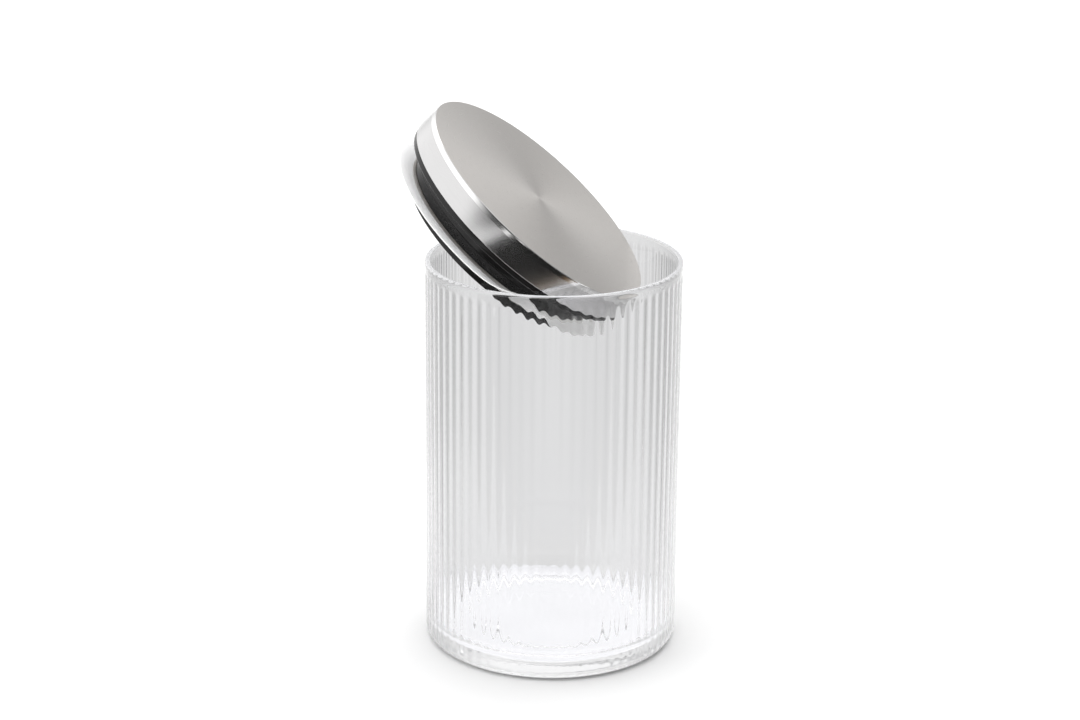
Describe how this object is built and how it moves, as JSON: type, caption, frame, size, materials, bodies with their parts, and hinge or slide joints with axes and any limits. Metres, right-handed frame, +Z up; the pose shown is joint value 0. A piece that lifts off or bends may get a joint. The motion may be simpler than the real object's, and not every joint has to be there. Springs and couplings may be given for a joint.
{
  "type": "lidded glass canister",
  "caption": "Clear fluted glass storage jar with a press-in lid of brushed steel, its black plug and flexible lip seal leaning in the mouth.",
  "frame": {"origin": "centre of the jar's underside, on the surface it stands on", "axes": "+Z up along the jar's axis; +X to the side that the leaning lid dips towards, turned 9.7 degrees"},
  "size_m": [0.1097, 0.1057, 0.2141],
  "materials": {
    "clear_glass": "clear, fire-polished, pressed vertical ribs",
    "brushed_steel": "circular brushing on the face, fine brushing round the skirt",
    "foam_adhesive": "matt foam",
    "black_plastic": "satin black moulding",
    "silicone": "translucent, smooth"
  },
  "bodies": {
    "jar": {"glass_jar": "clear_glass"},
    "lid": {"cap_shell": "brushed_steel", "bond_pad": "foam_adhesive", "plug_body": "black_plastic", "clamp_ring": "black_plastic", "lip_seal": "silicone", "base_plate": "black_plastic"}
  },
  "joints": [
    {"name": "lid_lift", "type": "slide", "parent": "jar", "child": "lid", "axis": [0, 0, 1], "range_m": [0, 0.06]}
  ]
}
